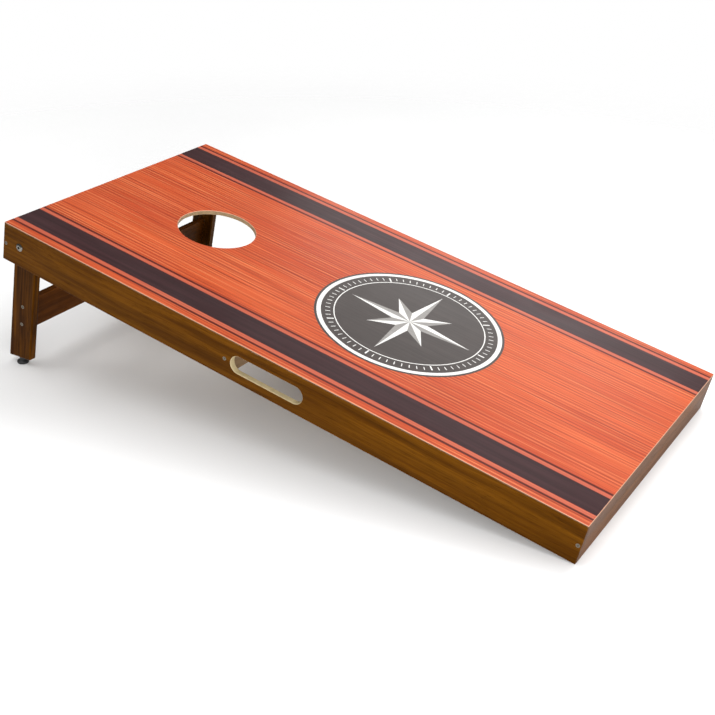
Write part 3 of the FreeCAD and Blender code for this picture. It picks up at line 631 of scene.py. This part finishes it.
for side in ("left", "right"):
    node = f"foot_stem_{side}"
    stem = new_piece(f"threaded_stem_{side}", threaded_stem(node), hardware_zinc, f"foot_{side}")
    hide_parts(node)


# ---------------------------------------------------------------- floor, light and camera

FLOOR_REACH = 4.0
FLOOR_FADE = (1.2, 2.6)
FLOOR_WHITE = (0.88, 0.88, 0.88)
# The upward part of a direction where the walls end and where the ceiling is at full strength.
CEILING_FROM, CEILING_TO = 0.70, 0.92


def pale_floor():
    """A plain white studio floor, a little uneven in its sheen, which fades into the white room."""
    r = Recipe("pale_floor", Specular_IOR_Level=0.2)
    place = r.add("ShaderNodeTexCoord").outputs["Object"]
    cloud = r.noise(place, (1.5, 1.5, 1.5), 3, 0.5)
    shade = r.tone(FLOOR_WHITE, r.spread(cloud, 0.99, 1.01))
    away = r.add("ShaderNodeVectorMath", {0: place}, operation="LENGTH").outputs["Value"]
    return r.finish(Base_Color=shade, Roughness=r.spread(cloud, 0.55, 0.65),
                    Alpha=r.step(away, *FLOOR_FADE, 1.0, 0.0))


def floor_sheet(shape):
    """One square of floor at the height that the feet stand on."""
    corners = [(-FLOOR_REACH, -FLOOR_REACH), (FLOOR_REACH, -FLOOR_REACH),
               (FLOOR_REACH, FLOOR_REACH), (-FLOOR_REACH, FLOOR_REACH)]
    shape.faces.new([shape.verts.new((x, y, 0)) for x, y in corners])


def add_softbox(name, azimuth, elevation, distance, size, power, mirrored=False):
    """An area light at this azimuth, from +Y towards +X, and elevation, aimed at the deck. Unless
    it is mirrored, it doesn't show in the foil's gloss, where it would be a white glare."""
    lamp = bpy.data.lights.new(name, "AREA")
    lamp.shape = "RECTANGLE"
    lamp.size, lamp.size_y = size
    lamp.energy = power
    light = bpy.data.objects.new(name, lamp)
    a, e = math.radians(azimuth), math.radians(elevation)
    out = Vector((math.sin(a) * math.cos(e), math.cos(a) * math.cos(e), math.sin(e)))
    light.location = DECK_CENTRE + out * distance
    light.rotation_euler = (-out).to_track_quat("-Z", "Y").to_euler()
    light.visible_camera = False
    light.visible_glossy = mirrored
    bpy.context.scene.collection.objects.link(light)


def add_world(walls, ceiling, seen):
    """A white room with a bright ceiling and much dimmer walls. The camera sees all of it at the
    one strength called seen."""
    world = bpy.data.worlds.new("studio")
    world.use_nodes = True
    tree = world.node_tree
    heading = tree.nodes.new("ShaderNodeTexCoord")
    parts = tree.nodes.new("ShaderNodeSeparateXYZ")
    rise = tree.nodes.new("ShaderNodeMapRange")
    rise.interpolation_type = "SMOOTHSTEP"
    for place, value in enumerate((CEILING_FROM, CEILING_TO, walls, ceiling), start=1):
        rise.inputs[place].default_value = value
    path = tree.nodes.new("ShaderNodeLightPath")
    strength = tree.nodes.new("ShaderNodeMix")
    strength.inputs[3].default_value = seen
    background = tree.nodes["Background"]
    background.inputs["Color"].default_value = (1, 1, 1, 1)
    for start, end in (
        (heading.outputs["Generated"], parts.inputs[0]),
        (parts.outputs["Z"], rise.inputs[0]),
        (path.outputs["Is Camera Ray"], strength.inputs[0]),
        (rise.outputs[0], strength.inputs[2]),
        (strength.outputs[0], background.inputs["Strength"]),
    ):
        tree.links.new(start, end)
    bpy.context.scene.world = world


CAMERA_PLACE = Vector((-1.8328, -1.1260, 1.1343))
CAMERA_AZIMUTH = 58.86
CAMERA_DIP = 26.51
CAMERA_ROLL = 1.457
CAMERA_LENS = 63.64
SENSOR_WIDTH = 36


def add_camera():
    """A camera beyond the board's low left corner, which looks towards CAMERA_AZIMUTH, measured
    from +Y towards +X, and dips below the horizon by CAMERA_DIP."""
    data = bpy.data.cameras.new("camera")
    data.lens = CAMERA_LENS
    data.sensor_width = SENSOR_WIDTH
    camera = bpy.data.objects.new("camera", data)
    turn = Matrix.Rotation(-math.radians(CAMERA_AZIMUTH), 4, "Z")
    dip = Matrix.Rotation(math.radians(90 - CAMERA_DIP), 4, "X")
    roll = Matrix.Rotation(math.radians(CAMERA_ROLL), 4, "Z")
    camera.matrix_world = Matrix.Translation(CAMERA_PLACE) @ turn @ dip @ roll
    bpy.context.scene.collection.objects.link(camera)
    bpy.context.scene.camera = camera


new_object("floor", floor_sheet, pale_floor())
add_softbox("key_light", 122, 50, distance=2.0, size=(1.2, 1.2), power=27)
add_softbox("fill_light", 236, 13, distance=3.2, size=(3.2, 1.1), power=106)
add_softbox("front_light", 165, 24, distance=3.0, size=(1.6, 1.0), power=16)
add_softbox("wall_panel", 79, 24, distance=3.6, size=(2.0, 1.1), power=9, mirrored=True)
add_softbox("back_light", 350, 24, distance=3.0, size=(2.4, 1.0), power=22)
add_world(walls=0.10, ceiling=1.75, seen=1.0)
add_camera()
bpy.context.scene.view_settings.view_transform = "Standard"
